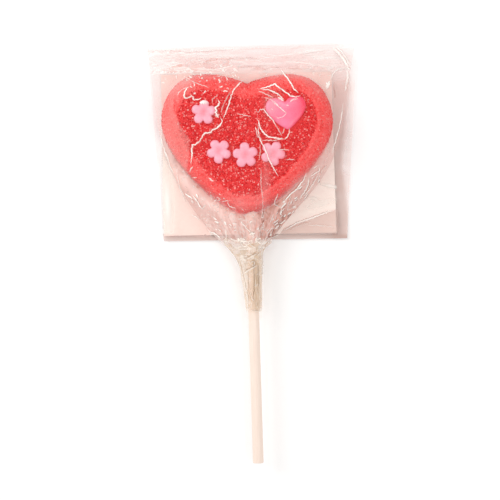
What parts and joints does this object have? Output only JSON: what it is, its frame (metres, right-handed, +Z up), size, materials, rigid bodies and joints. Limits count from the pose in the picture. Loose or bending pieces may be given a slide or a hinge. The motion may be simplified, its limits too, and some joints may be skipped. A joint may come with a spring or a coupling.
{
  "type": "heart lollipop",
  "caption": "Sugar-coated red jelly heart lollipop with piped pink icing, on a white paper stick, in a clear film wrapper with a white backing card, lying on its back.",
  "frame": {"origin": "on the surface that the lollipop lies on, under the middle of the heart: half its width, and half of its height from tip to lobes", "axes": "+Z up, the shown face up; +Y from the stick towards the heart's lobes; +X to the viewer's right in the picture"},
  "size_m": [0.0795, 0.1587, 0.0169],
  "materials": {
    "candy": "red jelly candy under a coat of clear sugar grains",
    "deep_pink_icing": "glossy set icing, deep pink",
    "pale_pink_icing": "glossy set icing, pale pink",
    "stick_paper": "matt rolled paper, warm white",
    "card": "smooth white card",
    "film": "clear glossy film with creases"
  },
  "bodies": {
    "root": {"candy_heart": "candy", "icing_heart": "deep_pink_icing", "icing_blossom_lobe": "pale_pink_icing", "icing_blossom_left": "pale_pink_icing", "icing_blossom_middle": "pale_pink_icing", "icing_blossom_right": "pale_pink_icing", "stick": "stick_paper", "backing_card": "card", "film_back": "film", "film_front": "film", "film_neck": "film"}
  },
  "joints": []
}
